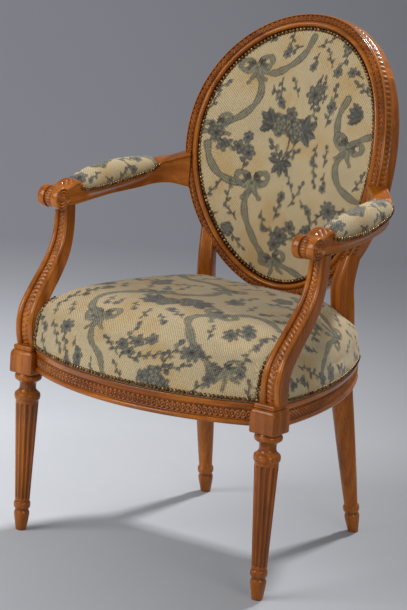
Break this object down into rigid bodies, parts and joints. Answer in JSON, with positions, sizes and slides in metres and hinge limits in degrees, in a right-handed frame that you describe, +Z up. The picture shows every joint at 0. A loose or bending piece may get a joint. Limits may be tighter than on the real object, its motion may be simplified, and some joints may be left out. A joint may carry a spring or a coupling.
{
  "type": "fauteuil",
  "caption": "Upholstered armchair with a dished oval back, scrolled arms on S-shaped supports, bowed seat rails, fluted turned front legs and splayed turned rear legs, covered in floral tapestry.",
  "frame": {"origin": "on the floor, under the middle of the chair's bounding box", "axes": "+Z up, +Y towards the back of the chair, +X to the sitter's left, the viewer's right in front of the chair"},
  "size_m": [0.586, 0.5744, 0.9205],
  "materials": {
    "wood": "waxed",
    "inner_wood": "raw",
    "webbing": "woven",
    "linen": "woven",
    "filling": "hair",
    "tapestry": "woven",
    "bronze": "aged"
  },
  "bodies": {
    "root": {"front_leg_left": "wood", "front_leg_right": "wood", "rear_post_left": "wood", "rear_post_right": "wood", "side_rail_left": "wood", "side_rail_right": "wood", "front_rail": "wood", "back_rail": "wood", "arm_support_left": "wood", "arm_support_right": "wood", "arm_left": "wood", "arm_right": "wood", "crest_rail": "wood", "lower_back_rail": "wood", "corner_block_front_left": "inner_wood", "corner_block_front_right": "inner_wood", "corner_block_rear_left": "inner_wood", "corner_block_rear_right": "inner_wood", "joint_pegs": "inner_wood", "seat_webbing_lengthwise": "webbing", "seat_webbing_crosswise": "webbing", "seat_base_cloth": "linen", "seat_filling": "filling", "seat_cover": "tapestry", "under_seat_cloth": "linen", "back_webbing": "webbing", "back_lining_cloth": "linen", "back_filling": "filling", "back_cover": "tapestry", "outside_back_cover": "tapestry", "arm_pad_filling_left": "filling", "arm_pad_filling_right": "filling", "arm_pad_cover_left": "tapestry", "arm_pad_cover_right": "tapestry"}
  },
  "joints": []
}
